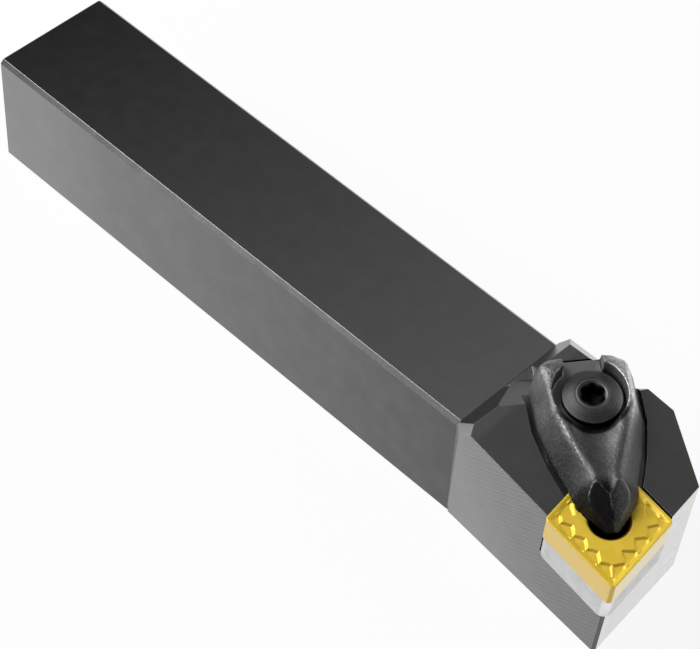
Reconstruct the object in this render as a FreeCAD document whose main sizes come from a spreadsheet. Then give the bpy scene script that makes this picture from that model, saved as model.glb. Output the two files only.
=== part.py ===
import FreeCAD, Part
import os
import Sketcher
from FreeCAD import Vector

# Left-hand turning tool holder with a rigid clamp and an 80 degree rhombic insert.
# Row frame: +X along the shank towards the cutting end, +Z up, the origin at the
# middle of the shank's rear bottom edge. Millimetres and degrees.

doc = FreeCAD.newDocument("turning_tool_holder")
sheet = doc.addObject("Spreadsheet::Sheet", "sizes")

SIZES = (
    # shank and its overall working sizes
    ("shank_width", 20),
    ("shank_height", 20),
    ("tool_length", 125),
    ("tool_reach", 25),
    ("head_length", 31.6),
    ("edge_chamfer", 0.6),
    ("end_chamfer", 0.2),
    # lie of the insert seat: direction of its centre line, and its tilt along it
    ("seat_heading", 135),
    ("seat_tilt", 7.8),
    # insert and shim
    ("insert_angle", 80),
    ("insert_circle", 12.7),
    ("insert_thickness", 4.76),
    ("insert_bore", 5.16),
    ("insert_corner", 0.8),
    ("bore_chamfer", 0.45),
    ("land_width", 0.4),
    ("groove_depth", 0.25),
    ("groove_width", 1.9),
    ("groove_slope", 40),
    ("shim_thickness", 4.76),
    ("shim_inset", 0.05),
    ("shim_corner", 1.4),
    # head outline round the seat
    ("head_inset", 0.55),
    ("nose_flat", 0.66),
    ("end_face", 18),
    ("far_bevel", 12.7),
    ("far_slope", 54),
    ("near_slope", 46),
    ("slope_split", 1),
    ("side_angle", 45),
    ("facet_cut", 16),
    ("facet_heading", 215.8),
    ("facet_rise", 33.9),
    ("chamfer_start", 2.45),
    ("runout_start", 14.43),
    ("runout_in", 1.5),
    ("runout_turn", 22.7),
    ("runout_angle", 42),
    # insert pocket
    ("wall_gap", 0.02),
    ("relief_gap", 0.3),
    ("corner_relief", 1.1),
    # clamp: its slot's centre in the seat plane, and its turn from the seat's centre line
    ("clamp_back", 26.1),
    ("clamp_side", 2.25),
    ("clamp_turn", 8),
    # its outline at the foot, from the rear to the tip: distances from the slot's centre and half widths
    ("clamp_rear", 6.7),
    ("rear_half", 5.1),
    ("wing_back", 4.1),
    ("wing_half", 7.15),
    ("waist_front", 2.6),
    ("waist_half", 7.1),
    ("neck_front", 7.9),
    ("neck_half", 6),
    ("throat_front", 12),
    ("throat_half", 4.65),
    ("beak_front", 14.5),
    ("beak_half", 4.1),
    ("lip_front", 16.1),
    ("lip_half", 2.9),
    ("beak_tip", 18.4),
    ("tip_half", 0.9),
    # its crest, and the outline there
    ("clamp_crest", 5),
    ("crest_rear", 5.6),
    ("crest_rear_half", 3.9),
    ("crest_wing_half", 5.7),
    ("crest_waist_half", 5.5),
    ("crest_neck_half", 3.2),
    ("crest_throat_half", 0.95),
    ("crest_beak_front", 13.6),
    ("crest_beak_half", 1.6),
    ("crest_lip_front", 14.4),
    ("crest_lip_half", 2.1),
    ("crest_tip", 15.8),
    ("crest_tip_half", 0.9),
    ("crest_front", 2),
    # beak: two faces that meet in a ridge, and the valley behind them
    ("peak_front", 12.6),
    ("peak_height", 3.95),
    ("ridge_front", 14.4),
    ("ridge_height", 3.5),
    ("beak_heading", 147.6),
    ("beak_rise", 57.4),
    ("beak_cut", 40),
    ("valley_half", 4.2),
    ("valley_base", 2),
    ("valley_rise", 0.6),
    ("valley_floor", 3.2),
    ("valley_tip", 1.3),
    ("valley_tip_base", 0.3),
    ("valley_tip_rise", 0.3),
    # milled seat for the screw, the round-over behind it and the nub in the insert's bore
    ("clamp_floor", 2.2),
    ("slot_radius", 5),
    ("slot_half", 2.65),
    ("rear_round", 2.4),
    ("rear_shoulder", 0.8),
    ("rear_drop", 1),
    ("nub_radius", 1.9),
    ("nub_depth", 1.3),
    ("nub_shift", 0.55),
    ("heel_half", 4.6),
    # recess and heel ramp in the head
    ("recess_gap", 0.6),
    ("recess_depth", 1.5),
    ("recess_front", 6.2),
    ("under_gap", 0.3),
    ("ramp_start", 1.8),
    ("ramp_angle", 34),
    ("ramp_depth", 4),
    ("ramp_near", 11.2),
    ("ramp_far", 6.4),
    ("ramp_open", 5),
    # clamp screw, its axis in the seat plane, and the spring
    ("screw_back", 26.4),
    ("screw_side", 1.75),
    ("screw_radius", 2.5),
    ("screw_length", 15),
    ("thread_gap", 0.05),
    ("hole_gap", 0.3),
    ("flange_radius", 4.08),
    ("flange_rim", 0.8),
    ("cone_rise", 0.73),
    ("ring_radius", 2.12),
    ("thread_lead_in", 0.6),
    ("socket_core", 1.25),
    ("lobe_circle", 1.34),
    ("lobe_radius", 0.34),
    ("socket_depth", 2),
    ("tapped_depth", 16),
    ("spring_bore", 4),
    ("spring_depth", 6),
    ("spring_mean", 3.3),
    ("wire_radius", 0.3),
    ("spring_turns", 3),
    # shim screw
    ("pin_radius", 2),
    ("pin_head", 3.1),
    ("pin_sink", 0.3),
    ("pin_length", 11),
    ("pin_socket", 1.15),
    ("pin_socket_depth", 1.6),
    ("tapped_reach", 8.5),
    # how far a cut runs past the solid
    ("overrun", 2),
    ("past_head", 40),
)

for row, (name, value) in enumerate(SIZES, 1):
    sheet.set("A%d" % row, name)
    sheet.set("B%d" % row, str(value))
    sheet.setAlias("B%d" % row, name)
doc.recompute()


def sized(text):
    """An expression with each size written as #name bound to the sheet."""
    return text.replace("#", "sizes.")


# Half of the insert's included angle
HALF = "(#insert_angle / 2)"
# Where the head begins, along the shank
HEAD = "(#tool_length - #head_length)"
# The insert's centre, back from its sharp nose along the seat's centre line
CENTRE = "(#insert_circle / (2 * sin(%s)))" % HALF
# Length and reach are measured to the insert's rounded nose: how far its sharp nose lies past them
PAST_X = (
    "(#insert_corner * (cos(180 - #seat_heading) * cos(#seat_tilt) / sin(%s)"
    " - sqrt(1 - (cos(#seat_heading) * sin(#seat_tilt)) ^ 2)))"
) % HALF
PAST_Y = (
    "(#insert_corner * (sin(#seat_heading) * cos(#seat_tilt) / sin(%s)"
    " - sqrt(1 - (sin(#seat_heading) * sin(#seat_tilt)) ^ 2)))"
) % HALF
# The seat: origin at the sharp nose on the insert's top face, X back along the centre line, Z off the seat
SEAT = (
    "placement(vector(#tool_length + %s; #shank_width / 2 - #tool_reach - %s; #shank_height);"
    " rotation(vector(0;0;1); #seat_heading) * rotation(vector(0;1;0); -#seat_tilt))"
) % (PAST_X, PAST_Y)
# The clamp: origin at its slot's centre on the level of the insert's top face, X towards the heel
CLAMP = SEAT + (
    " * placement(vector(#clamp_back; #clamp_side; 0); rotation(vector(0;0;1); #clamp_turn))"
)
# Where the clamp's frame sees a point of the seat plane
SEEN_X = "((%s - #clamp_back) * cos(#clamp_turn) + (%s - #clamp_side) * sin(#clamp_turn))"
SEEN_Y = "((#clamp_back - %s) * sin(#clamp_turn) + (%s - #clamp_side) * cos(#clamp_turn))"
UPRIGHT = " * placement(vector(0;0;0); rotation(vector(1;0;0); 90))"


def moved(place, x="0", y="0", z="0"):
    """A place moved along its own axes; with no place, a move from the origin."""
    step = "placement(vector(%s;%s;%s); rotation(vector(0;0;1); 0))" % (x, y, z)
    return "%s * %s" % (place, step) if place else step


# The screw's axis, and the insert's centre
SCREW = moved(SEAT, "#screw_back", "#screw_side")
PLATE = moved(SEAT, CENTRE)


def body(label, place=None):
    """A sub-part, in the row frame or in a frame of its own."""
    piece = doc.addObject("PartDesign::Body", label)
    piece.Label = label
    if place:
        piece.setExpression("Placement", sized(place))
    return piece


def sketch(piece, name, role, place=None):
    """An empty sketch on one of the body's origin planes, offset to a place."""
    plane = [feature for feature in piece.Origin.OriginFeatures if feature.Role == role][0]
    drawn = piece.newObject("Sketcher::SketchObject", name)
    drawn.AttachmentSupport = [(plane, "")]
    drawn.MapMode = "FlatFace"
    if place:
        drawn.setExpression("AttachmentOffset", sized(place))
    return drawn


def outline(piece, name, role, points, place=None):
    """A closed outline of straight sides whose corners follow the sheet."""
    drawn = sketch(piece, name, role, place)
    points = [(sized(x), sized(y)) for x, y in points]
    at = [(float(drawn.evalExpression(x)), float(drawn.evalExpression(y))) for x, y in points]
    for index, start in enumerate(at):
        end = at[(index + 1) % len(at)]
        drawn.addGeometry(Part.LineSegment(Vector(*start, 0), Vector(*end, 0)), False)
    for index in range(len(at)):
        following = (index + 1) % len(at)
        drawn.addConstraint(Sketcher.Constraint("Coincident", index, 2, following, 1))
    for index, (x, y) in enumerate(points):
        for kind, value, text in (("DistanceX", at[index][0], x), ("DistanceY", at[index][1], y)):
            number = drawn.addConstraint(Sketcher.Constraint(kind, -1, 1, index, 1, value))
            drawn.setExpression("Constraints[%d]" % number, text)
    return drawn


def ring(piece, name, role, radius, place=None, centre=("0", "0")):
    """A circle whose radius and centre follow the sheet."""
    drawn = sketch(piece, name, role, place)
    x, y = [float(drawn.evalExpression(sized(text))) for text in centre]
    size = float(drawn.evalExpression(sized(radius)))
    drawn.addGeometry(Part.Circle(Vector(x, y, 0), Vector(0, 0, 1), size), False)
    number = drawn.addConstraint(Sketcher.Constraint("Radius", 0, size))
    drawn.setExpression("Constraints[%d]" % number, sized(radius))
    for kind, value, text in (("DistanceX", x, centre[0]), ("DistanceY", y, centre[1])):
        number = drawn.addConstraint(Sketcher.Constraint(kind, -1, 1, 0, 3, value))
        drawn.setExpression("Constraints[%d]" % number, sized(text))
    return drawn


def pad(piece, name, drawn, length, down=False, taper=None):
    """Material added on a sketch, along its normal or against it."""
    feature = piece.newObject("PartDesign::Pad", name)
    feature.Profile = drawn
    feature.setExpression("Length", sized(length))
    feature.Reversed = down
    if taper:
        feature.setExpression("TaperAngle", sized(taper))
    doc.recompute()
    return feature


def pocket(piece, name, drawn, length=None, up=False, both=False, taper=None):
    """Material cut from a sketch against its normal, along it, or both ways; with no length, through all."""
    feature = piece.newObject("PartDesign::Pocket", name)
    feature.Profile = drawn
    feature.Reversed = up
    if length is None:
        feature.Type = "ThroughAll"
    else:
        feature.setExpression("Length", sized(length))
    if both:
        feature.SideType = "Symmetric"
    if taper:
        feature.setExpression("TaperAngle", sized(taper))
    doc.recompute()
    return feature


def turn(piece, name, drawn, kind):
    """A full turn of a section about the piece's own Z: a Revolution adds, a Groove cuts."""
    feature = piece.newObject("PartDesign::" + kind, name)
    feature.Profile = drawn
    feature.ReferenceAxis = (drawn, ["V_Axis"])
    doc.recompute()
    return feature


def rhomb(circle):
    """Corners of a rhombus with the insert's angle round an inscribed circle, about its centre."""
    long_half = "(%s) / (2 * sin(%s))" % (circle, HALF)
    short_half = "(%s) / (2 * cos(%s))" % (circle, HALF)
    return (("-" + long_half, "0"), ("0", "-" + short_half), (long_half, "0"), ("0", short_half))


def upright_edges(shape):
    """Names of the edges that rise more than they run."""
    return [
        "Edge%d" % number for number, edge in enumerate(shape.Edges, 1)
        if edge.BoundBox.ZLength > edge.BoundBox.XLength
    ]


def mirrored(points):
    """An outline from its near half: the same points with the other sign, in reverse order, follow."""
    return points + tuple((x, "-(%s)" % y) for x, y in reversed(points))


def clamp_outline(gap="0"):
    """The clamp's outline at its foot, with a gap round it."""
    return mirrored((
        ("#clamp_rear + %s" % gap, "#rear_half + %s" % gap),
        ("#wing_back", "#wing_half + %s" % gap),
        ("-#waist_front", "#waist_half + %s" % gap),
        ("-#neck_front", "#neck_half + %s" % gap),
        ("-#throat_front", "#throat_half + %s" % gap),
        ("-#beak_front", "#beak_half + %s" % gap),
        ("-#lip_front", "#lip_half + %s" % gap),
        ("-#beak_tip - %s" % gap, "#tip_half"),
    ))


# Holder body: the head is a block square to the seat plane, trimmed to the bar's own planes
holder = body("holder_body")
NOSE = "(#head_inset / sin(%s) + #nose_flat / (2 * tan(%s)))" % (HALF, HALF)
END_X = "(%s + #end_face * cos(%s))" % (NOSE, HALF)
END_Y = "(-#nose_flat / 2 - #end_face * sin(%s))" % HALF
head_plan = outline(
    holder, "head_plan", "XY_Plane", (
        (NOSE, "#nose_flat / 2"),
        (NOSE, "-#nose_flat / 2"),
        (END_X, END_Y),
        ("%s + #past_head * cos(#far_bevel)" % END_X, "%s + #past_head * sin(#far_bevel)" % END_Y),
        ("%s + #past_head * cos(%s)" % (NOSE, HALF), "#nose_flat / 2 + #past_head * sin(%s)" % HALF),
    ), SEAT)
pad(holder, "head", head_plan, "#shank_height + #past_head * sin(#seat_tilt) + 2 * #overrun", down=True)

base_plan = outline(
    holder, "base_plan", "XY_Plane", (
        ("%s - #past_head" % HEAD, "-#past_head"),
        ("#tool_length + #overrun", "-#past_head"),
        ("#tool_length + #overrun", "#past_head"),
        ("%s - #past_head" % HEAD, "#past_head"),
    ))
pocket(holder, "base", base_plan)

far_plan = outline(
    holder, "far_plan", "XY_Plane", (
        ("%s - #past_head" % HEAD, "#shank_width / 2"),
        ("#tool_length + #overrun", "#shank_width / 2"),
        ("#tool_length + #overrun", "#past_head"),
        ("%s - #past_head" % HEAD, "#past_head"),
    ))
pocket(holder, "far_side", far_plan, both=True)

back_profile = outline(
    holder, "back_profile", "XZ_Plane", (
        ("%s - #past_head" % HEAD, "-#overrun"),
        (HEAD, "-#overrun"),
        (HEAD, "#shank_height"),
        ("%s + #past_head / tan(#far_slope)" % HEAD, "#shank_height + #past_head"),
        ("%s - #past_head" % HEAD, "#shank_height + #past_head"),
    ))
pocket(holder, "back", back_profile, both=True)

near_profile = outline(
    holder, "near_profile", "XZ_Plane", (
        (HEAD, "#shank_height"),
        ("%s + #past_head / tan(#near_slope)" % HEAD, "#shank_height + #past_head"),
        (HEAD, "#shank_height + #past_head"),
    ), moved("", z="#slope_split"))
pocket(holder, "near_back", near_profile, up=True)

side_plan = outline(
    holder, "side_plan", "XY_Plane", (
        (HEAD, "-#shank_width / 2"),
        ("%s + #past_head * cos(#side_angle)" % HEAD, "-#shank_width / 2 - #past_head * sin(#side_angle)"),
        ("%s - #past_head" % HEAD, "-#shank_width / 2 - #past_head * sin(#side_angle)"),
        ("%s - #past_head" % HEAD, "-#shank_width / 2"),
    ))
pocket(holder, "side", side_plan, both=True)

facet = holder.newObject("PartDesign::SubtractiveBox", "corner_facet")
for edge in ("Length", "Width", "Height"):
    facet.setExpression(edge, sized("#facet_cut"))
FACET = (
    "placement(vector(%s; -#shank_width / 2; #shank_height);"
    " rotation(vector(0;0;1); #facet_heading) * rotation(vector(0;1;0); -#facet_rise))"
) % HEAD
facet.setExpression("Placement", sized(moved(FACET, "0", "-#facet_cut / 2", "-#facet_cut / 2")))
doc.recompute()

# Chamfer along the head's far top edge, which runs out in a slanted end
RUNOUT_AT = (
    "%s + #runout_start; #shank_width / 2 - #runout_in; #shank_height + #chamfer_start + #runout_in"
) % HEAD
RUNOUT = (
    "placement(vector(%s);"
    " rotation(vector(1;0;0); #side_angle) * rotation(vector(0;1;0); #runout_turn))"
) % RUNOUT_AT
runout = outline(
    holder, "runout", "XY_Plane", (
        ("0", "0"),
        ("#past_head * cos(#runout_angle)", "#past_head * sin(#runout_angle)"),
        ("-#past_head", "#past_head * sin(#runout_angle)"),
        ("-#past_head", "0"),
    ), RUNOUT)
pocket(holder, "top_chamfer", runout, "#past_head", both=True)

# Insert pocket: two walls along the insert's back edges, open to the front
BACK = "(2 * %s)" % CENTRE
FAR_X = "(%s - #past_head * cos(%s))" % (BACK, HALF)
FAR_Y = "(#past_head * sin(%s))" % HALF
GAP_X = "((#wall_gap + #relief_gap) / (2 * sin(%s)))" % HALF
GAP_Y = "((#wall_gap - #relief_gap) / (2 * cos(%s)))" % HALF
pocket_plan = outline(
    holder, "pocket_plan", "XY_Plane", (
        ("%s + %s" % (BACK, GAP_X), GAP_Y),
        ("%s + %s" % (FAR_X, GAP_X), "%s + %s" % (FAR_Y, GAP_Y)),
        ("%s + %s" % (FAR_X, GAP_X), "-%s + %s" % (FAR_Y, GAP_Y)),
    ), SEAT)
FLOOR = "(#insert_thickness + #shim_thickness)"
pocket(holder, "insert_pocket", pocket_plan, FLOOR)
relief_plan = ring(holder, "relief_plan", "XY_Plane", "#corner_relief", SEAT, (BACK, "0"))
pocket(holder, "pocket_relief", relief_plan, FLOOR)
pin_plan = ring(holder, "pin_plan", "XY_Plane", "#pin_radius + #thread_gap", SEAT, (CENTRE, "0"))
pocket(holder, "pin_hole", pin_plan, "%s + #tapped_reach" % FLOOR)

# Recess that takes the clamp's lower part
recess_plan = outline(holder, "recess_plan", "XY_Plane", clamp_outline("#recess_gap"), CLAMP)
pocket(holder, "recess", recess_plan, "#recess_depth")

# Heel ramp: it slopes down away from the insert, so that the clamp draws the insert back as it comes down
RAMP_RUN = "(#ramp_depth / tan(#ramp_angle))"
ramp_profile = outline(
    holder, "ramp_profile", "XY_Plane", (
        ("#ramp_start", "0"),
        ("#ramp_start + %s" % RAMP_RUN, "-#ramp_depth"),
        ("#ramp_start + %s" % RAMP_RUN, "#overrun"),
        ("#ramp_start", "#overrun"),
    ), moved(CLAMP + UPRIGHT, z="-#ramp_near"))
pocket(holder, "ramp", ramp_profile, "#ramp_near + #ramp_far", up=True)
gate_plan = outline(
    holder, "gate_plan", "XY_Plane", (
        ("#ramp_start + %s" % RAMP_RUN, "#ramp_open"),
        ("#ramp_start + %s + #past_head" % RAMP_RUN, "#ramp_open"),
        ("#ramp_start + %s + #past_head" % RAMP_RUN, "#ramp_near"),
        ("#ramp_start + %s" % RAMP_RUN, "#ramp_near"),
    ), CLAMP)
pocket(holder, "gate", gate_plan, "#ramp_depth")

# Spring counterbore and tapped hole of the clamp screw
spring_plan = ring(holder, "spring_plan", "XY_Plane", "#spring_bore", SCREW)
pocket(holder, "spring_seat", spring_plan, "#spring_depth")
tapped_plan = ring(holder, "tapped_plan", "XY_Plane", "#screw_radius + #thread_gap", SCREW)
pocket(holder, "tapped_hole", tapped_plan, "#tapped_depth")

# Shank: a square bar with small chamfers
SIDE = "#shank_width / 2"
CUT = "#edge_chamfer"
shank_section = outline(
    holder, "shank_section", "YZ_Plane", (
        ("-%s + %s" % (SIDE, CUT), "0"),
        ("%s - %s" % (SIDE, CUT), "0"),
        (SIDE, CUT),
        (SIDE, "#shank_height - %s" % CUT),
        ("%s - %s" % (SIDE, CUT), "#shank_height"),
        ("-%s + %s" % (SIDE, CUT), "#shank_height"),
        ("-%s" % SIDE, "#shank_height - %s" % CUT),
        ("-%s" % SIDE, CUT),
    ))
shank = pad(holder, "shank", shank_section, HEAD)
ends = [
    "Edge%d" % number for number, edge in enumerate(shank.Shape.Edges, 1)
    if edge.CenterOfMass.x < sheet.end_chamfer
]
end_break = holder.newObject("PartDesign::Chamfer", "end_break")
end_break.Base = (shank, ends)
end_break.setExpression("Size", sized("#end_chamfer"))
doc.recompute()

# Insert: a rhombic plate, the same on both faces
insert = body("insert", PLATE)
insert_plan = outline(insert, "insert_plan", "XY_Plane", rhomb("#insert_circle"))
plate = pad(insert, "plate", insert_plan, "#insert_thickness", down=True)
rounded = insert.newObject("PartDesign::Fillet", "corners")
rounded.Base = (plate, upright_edges(plate.Shape))
rounded.setExpression("Radius", sized("#insert_corner"))
doc.recompute()
GROOVE = "#insert_circle - 2 * #land_width"
ISLAND = "#insert_circle - 2 * #land_width - 2 * #groove_width"
for face, flipped in (("top", False), ("under", True)):
    level = "-#insert_thickness" if flipped else "0"
    place = moved("", z=level)
    groove_plan = outline(insert, face + "_groove_plan", "XY_Plane", rhomb(GROOVE), place)
    pocket(insert, face + "_groove", groove_plan, "#groove_depth", up=flipped, taper="-#groove_slope")
    island_place = moved(place, z="#groove_depth" if flipped else "-#groove_depth")
    island_plan = outline(insert, face + "_island_plan", "XY_Plane", rhomb(ISLAND), island_place)
    pad(insert, face + "_island", island_plan, "#groove_depth", down=flipped, taper="-#groove_slope")
BORE = "#insert_bore / 2"
bore_section = outline(
    insert, "bore_section", "XZ_Plane", (
        ("0", "#overrun"),
        (BORE + " + #bore_chamfer", "#overrun"),
        (BORE + " + #bore_chamfer", "0"),
        (BORE, "-#bore_chamfer"),
        (BORE, "#bore_chamfer - #insert_thickness"),
        (BORE + " + #bore_chamfer", "-#insert_thickness"),
        (BORE + " + #bore_chamfer", "-#insert_thickness - #overrun"),
        ("0", "-#insert_thickness - #overrun"),
    ))
turn(insert, "bore", bore_section, "Groove")

# Shim: a plate of the same shape, held by a countersunk screw
shim = body("shim", moved(PLATE, z="-#insert_thickness"))
shim_plan = outline(shim, "shim_plan", "XY_Plane", rhomb("#insert_circle - 2 * #shim_inset"))
slab = pad(shim, "slab", shim_plan, "#shim_thickness", down=True)
softened = shim.newObject("PartDesign::Fillet", "shim_corners")
softened.Base = (slab, upright_edges(slab.Shape))
softened.setExpression("Radius", sized("#shim_corner"))
doc.recompute()
sink = outline(
    shim, "sink", "XZ_Plane", (
        ("0", "#overrun"),
        ("#pin_head + #hole_gap", "#overrun"),
        ("#pin_head + #hole_gap", "-#pin_sink"),
        ("#pin_radius + #hole_gap", "-#pin_sink - (#pin_head - #pin_radius)"),
        ("#pin_radius + #hole_gap", "-#shim_thickness - #overrun"),
        ("0", "-#shim_thickness - #overrun"),
    ))
turn(shim, "countersink", sink, "Groove")

shim_screw = body("shim_screw", moved(PLATE, z="-#insert_thickness"))
pin_section = outline(
    shim_screw, "pin_section", "XZ_Plane", (
        ("0", "-#pin_sink"),
        ("#pin_head", "-#pin_sink"),
        ("#pin_radius", "-#pin_sink - (#pin_head - #pin_radius)"),
        ("#pin_radius", "-#pin_sink - #pin_length"),
        ("0", "-#pin_sink - #pin_length"),
    ))
turn(shim_screw, "pin", pin_section, "Revolution")
hexagon = tuple(
    ("#pin_socket * cos(%d)" % angle, "#pin_socket * sin(%d)" % angle) for angle in range(0, 360, 60))
key_plan = outline(shim_screw, "key_plan", "XY_Plane", hexagon)
pocket(shim_screw, "key_socket", key_plan, "#pin_sink + #pin_socket_depth")

# Clamp: drafted forging with a milled seat for the screw, open to the rear
clamp = body("clamp", CLAMP)
base_outline = outline(clamp, "base_outline", "XY_Plane", clamp_outline())
crest_outline = outline(
    clamp, "crest_outline", "XY_Plane", mirrored((
        ("#crest_rear", "#crest_rear_half"),
        ("#wing_back", "#crest_wing_half"),
        ("-#waist_front", "#crest_waist_half"),
        ("-#neck_front", "#crest_neck_half"),
        ("-#throat_front", "#crest_throat_half"),
        ("-#crest_beak_front", "#crest_beak_half"),
        ("-#crest_lip_front", "#crest_lip_half"),
        ("-#crest_tip", "#crest_tip_half"),
    )), moved("", z="#clamp_crest"))
forging = clamp.newObject("PartDesign::AdditiveLoft", "forging")
forging.Profile = base_outline
forging.Sections = [crest_outline]
forging.Ruled = True
doc.recompute()
slope_profile = outline(
    clamp, "slope_profile", "XZ_Plane", (
        ("-#crest_front", "#clamp_crest"),
        ("-#peak_front", "#peak_height"),
        ("-#beak_tip - #overrun", "#peak_height"),
        ("-#beak_tip - #overrun", "#clamp_crest + #overrun"),
        ("-#crest_front", "#clamp_crest + #overrun"),
    ))
pocket(clamp, "crest_slope", slope_profile, both=True)
for side, sign in (("near", ""), ("far", "-")):
    beak_face = clamp.newObject("PartDesign::SubtractiveBox", side + "_beak_face")
    for edge in ("Length", "Width", "Height"):
        beak_face.setExpression(edge, sized("#beak_cut"))
    across = (
        "placement(vector(-#ridge_front; 0; #ridge_height);"
        " rotation(vector(0;0;1); %s#beak_heading) * rotation(vector(0;1;0); -#beak_rise))"
    ) % sign
    beak_face.setExpression("Placement", sized(moved(across, "0", "-#beak_cut / 2", "-#beak_cut / 2")))
doc.recompute()
valley_rear = outline(
    clamp, "valley_rear", "YZ_Plane", (
        ("-#valley_half", "#clamp_crest + #valley_rise"),
        ("-#valley_base", "#valley_floor"),
        ("#valley_base", "#valley_floor"),
        ("#valley_half", "#clamp_crest + #valley_rise"),
    ), moved("", z="-#crest_front"))
valley_front = outline(
    clamp, "valley_front", "YZ_Plane", (
        ("-#valley_tip", "#peak_height + #valley_tip_rise"),
        ("-#valley_tip_base", "#ridge_height"),
        ("#valley_tip_base", "#ridge_height"),
        ("#valley_tip", "#peak_height + #valley_tip_rise"),
    ), moved("", z="-#ridge_front"))
valley = clamp.newObject("PartDesign::SubtractiveLoft", "valley")
valley.Profile = valley_rear
valley.Sections = [valley_front]
valley.Ruled = True
doc.recompute()
rear_profile = outline(
    clamp, "rear_profile", "XZ_Plane", (
        ("#clamp_rear - #rear_round", "#clamp_crest"),
        ("#clamp_rear - #rear_shoulder", "#clamp_crest - #rear_drop"),
        ("#clamp_rear", "#clamp_floor"),
        ("#clamp_rear + #overrun", "#clamp_floor"),
        ("#clamp_rear + #overrun", "#clamp_crest + #overrun"),
        ("#clamp_rear - #rear_round", "#clamp_crest + #overrun"),
    ))
pocket(clamp, "rear_edge", rear_profile, both=True)

# Milled seat for the screw's flange, open to the rear between the wings
FLAT = moved("", z="#clamp_floor")
pocket(clamp, "seat_circle", ring(clamp, "seat_circle_plan", "XY_Plane", "#slot_radius", FLAT), up=True)
seat_way = outline(
    clamp, "seat_way_plan", "XY_Plane", (
        ("0", "-#slot_half"),
        ("#clamp_rear + #overrun", "-#slot_half"),
        ("#clamp_rear + #overrun", "#slot_half"),
        ("0", "#slot_half"),
    ), FLAT)
pocket(clamp, "seat_way", seat_way, up=True)

# Underside: a block in the head's recess, a collar over the spring, the heel on the ramp,
# and the nub in the insert's bore
UNDER = "(#recess_depth - #under_gap)"
belly_plan = outline(
    clamp, "belly_plan", "XY_Plane", (
        ("-#recess_front", "-#neck_half"),
        ("#ramp_start - #under_gap", "-#neck_half"),
        ("#ramp_start - #under_gap", "#neck_half"),
        ("-#recess_front", "#neck_half"),
    ))
pad(clamp, "belly", belly_plan, UNDER, down=True)
heel_profile = outline(
    clamp, "heel_profile", "XZ_Plane", (
        ("#ramp_start + #under_gap", "0"),
        ("#ramp_start + #under_gap", "-#under_gap * tan(#ramp_angle)"),
        ("#clamp_rear", "-(#clamp_rear - #ramp_start) * tan(#ramp_angle)"),
        ("#clamp_rear", "0"),
    ))
heel = pad(clamp, "heel", heel_profile, "2 * #heel_half")
heel.SideType = "Symmetric"
AXIS = (SEEN_X % ("#screw_back", "#screw_side"), SEEN_Y % ("#screw_back", "#screw_side"))
collar_plan = ring(clamp, "collar_plan", "XY_Plane", "#spring_bore - #hole_gap", None, AXIS)
pad(clamp, "collar", collar_plan, UNDER, down=True)
spring_face = ring(clamp, "spring_face_plan", "XY_Plane", "#spring_bore", moved("", z="-" + UNDER), AXIS)
pocket(clamp, "spring_face", spring_face)
NUB = ("%s + #nub_shift" % SEEN_X % (CENTRE, "0"), SEEN_Y % (CENTRE, "0"))
nub_plan = ring(clamp, "nub_plan", "XY_Plane", "#nub_radius", None, NUB)
pad(clamp, "nub", nub_plan, "#nub_depth", down=True)
screw_way = ring(clamp, "screw_way_plan", "XY_Plane", "#screw_radius + #hole_gap", None, AXIS)
pocket(clamp, "screw_way", screw_way, both=True)

# Clamp screw: flanged, with a six-lobed socket
clamp_screw = body("clamp_screw", moved(SCREW, z="#clamp_floor"))
CROWN = "(#flange_rim + #cone_rise)"
screw_section = outline(
    clamp_screw, "screw_section", "XZ_Plane", (
        ("0", "-#screw_length"),
        ("#screw_radius - #thread_lead_in", "-#screw_length"),
        ("#screw_radius", "#thread_lead_in - #screw_length"),
        ("#screw_radius", "0"),
        ("#flange_radius", "0"),
        ("#flange_radius", "#flange_rim"),
        ("#ring_radius", CROWN),
        ("0", CROWN),
    ))
turn(clamp_screw, "blank", screw_section, "Revolution")
TOP = moved("", z=CROWN)
socket_plan = ring(clamp_screw, "socket_plan", "XY_Plane", "#socket_core", TOP)
pocket(clamp_screw, "socket", socket_plan, "#socket_depth")
lobe_plan = ring(clamp_screw, "lobe_plan", "XY_Plane", "#lobe_radius", TOP, ("#lobe_circle", "0"))
lobe = pocket(clamp_screw, "lobe", lobe_plan, "#socket_depth")
lobes = clamp_screw.newObject("PartDesign::PolarPattern", "lobes")
lobes.Originals = [lobe]
lobes.Axis = (lobe_plan, ["N_Axis"])
lobes.Angle = 360
lobes.Occurrences = 6
clamp_screw.Tip = lobes
doc.recompute()

# Spring: a coil between the counterbore's floor and the clamp
clamp_spring = body("clamp_spring", moved(SCREW, z="-#spring_depth"))
wire_section = outline(
    clamp_spring, "wire_section", "XZ_Plane", tuple(
        ("#spring_mean + #wire_radius * cos(%d)" % angle, "#wire_radius * (1 + sin(%d))" % angle)
        for angle in range(0, 360, 45)
    ))
coil = clamp_spring.newObject("PartDesign::AdditiveHelix", "coil")
coil.Profile = wire_section
coil.ReferenceAxis = (wire_section, ["V_Axis"])
coil.Mode = "height-turns-angle"
coil.setExpression("Height", sized("#spring_depth - %s - 2 * #wire_radius" % UNDER))
coil.setExpression("Turns", sized("#spring_turns"))
doc.recompute()

for item in doc.Objects:
    if "Invalid" in item.State or "Error" in item.State:
        raise RuntimeError("%s failed: %s" % (item.Label, item.State))
pieces = (holder, shim, shim_screw, insert, clamp, clamp_screw, clamp_spring)
for piece in pieces:
    if piece.Shape.isNull() or not piece.Shape.isValid() or len(piece.Shape.Solids) != 1:
        raise RuntimeError("%s isn't one valid solid" % piece.Label)

os.makedirs("parts", exist_ok=True)
for piece in pieces:
    piece.Shape.exportStep("parts/%s.step" % piece.Label)
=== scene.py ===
import bpy, bmesh, math
from mathutils import Matrix, Vector


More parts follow.
